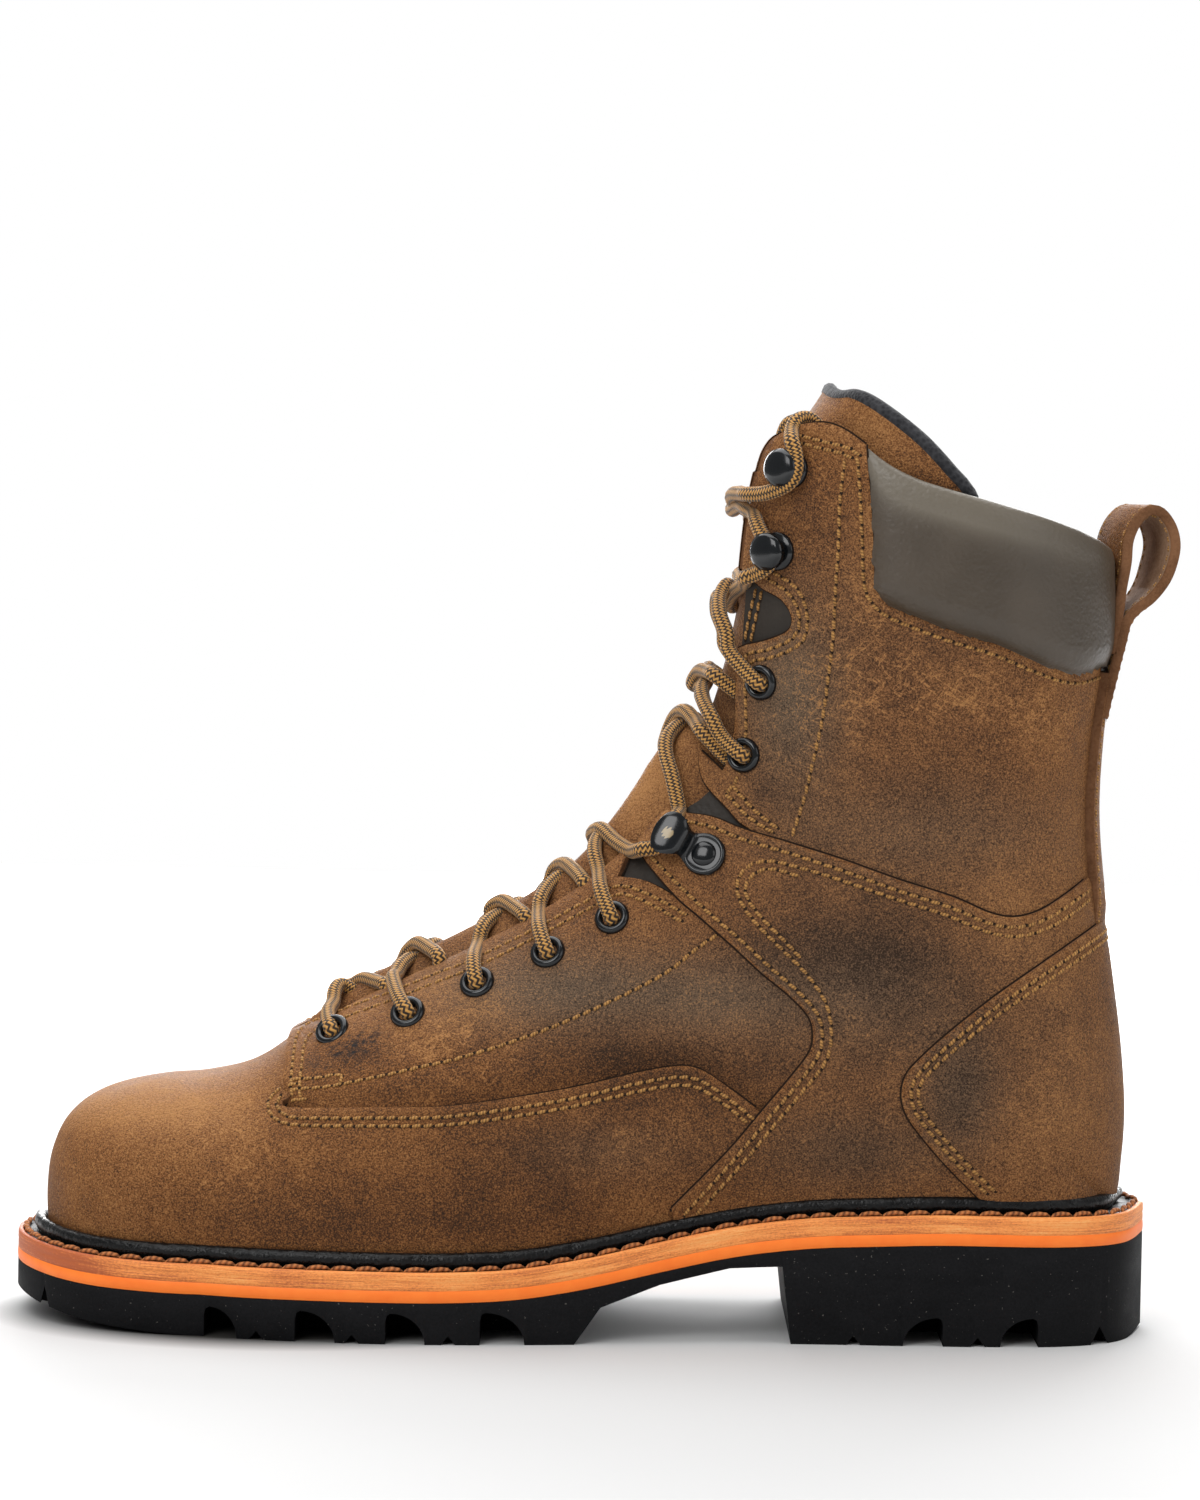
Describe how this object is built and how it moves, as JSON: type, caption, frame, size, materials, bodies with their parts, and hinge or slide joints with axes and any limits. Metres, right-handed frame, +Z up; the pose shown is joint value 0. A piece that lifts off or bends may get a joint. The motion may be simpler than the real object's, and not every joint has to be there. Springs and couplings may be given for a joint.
{
  "type": "work boot",
  "caption": "Left lace-up leather work boot with a stitched welt, lug outsole, raised heel, padded collar, eyelets, speed hooks and a pull loop at the back.",
  "frame": {"origin": "middle of the boot's box, on the floor that it stands on", "axes": "+X from toe to heel, +Y from the outer (lateral) side to the inner (medial) side, +Z up"},
  "size_m": [0.3216, 0.1054, 0.2619],
  "materials": {
    "rubber": "matte black moulded rubber",
    "orange_rubber": "smooth orange rubber edge",
    "tan_welt": "tan leatherboard with fine lines along its edge",
    "black_rand": "semi-gloss black",
    "insole_board": "matte cloth-covered board",
    "brown_leather": "oiled matte brown, mottled with darker patches",
    "collar_leather": "smooth dark brown, semi-gloss",
    "black_enamel": "glossy black enamel",
    "lace_cord": "round woven cord, gold and brown"
  },
  "bodies": {
    "root": {"outsole": "rubber", "midsole": "orange_rubber", "welt": "tan_welt", "rand": "black_rand", "insole": "insole_board", "upper": "brown_leather", "heel_counter": "brown_leather", "collar_pad": "collar_leather", "tongue": "brown_leather", "pull_loop": "brown_leather", "eyelet_outer_1": "black_enamel", "eyelet_outer_2": "black_enamel", "eyelet_outer_3": "black_enamel", "eyelet_outer_4": "black_enamel", "eyelet_outer_5": "black_enamel", "eyelet_outer_6": "black_enamel", "eyelet_outer_7": "black_enamel", "eyelet_inner_1": "black_enamel", "eyelet_inner_2": "black_enamel", "eyelet_inner_3": "black_enamel", "eyelet_inner_4": "black_enamel", "eyelet_inner_5": "black_enamel", "eyelet_inner_6": "black_enamel", "eyelet_inner_7": "black_enamel", "stud_hook_outer_1": "black_enamel", "stud_hook_outer_2": "black_enamel", "stud_hook_inner_1": "black_enamel", "stud_hook_inner_2": "black_enamel", "ankle_hook_outer": "black_enamel", "ankle_hook_inner": "black_enamel", "lace_crossing_1": "lace_cord", "lace_crossing_2": "lace_cord", "lace_crossing_3": "lace_cord", "lace_crossing_4": "lace_cord", "lace_crossing_5": "lace_cord", "lace_crossing_6": "lace_cord", "lace_crossing_7": "lace_cord", "lace_crossing_8": "lace_cord", "lace_crossing_9": "lace_cord"}
  },
  "joints": []
}
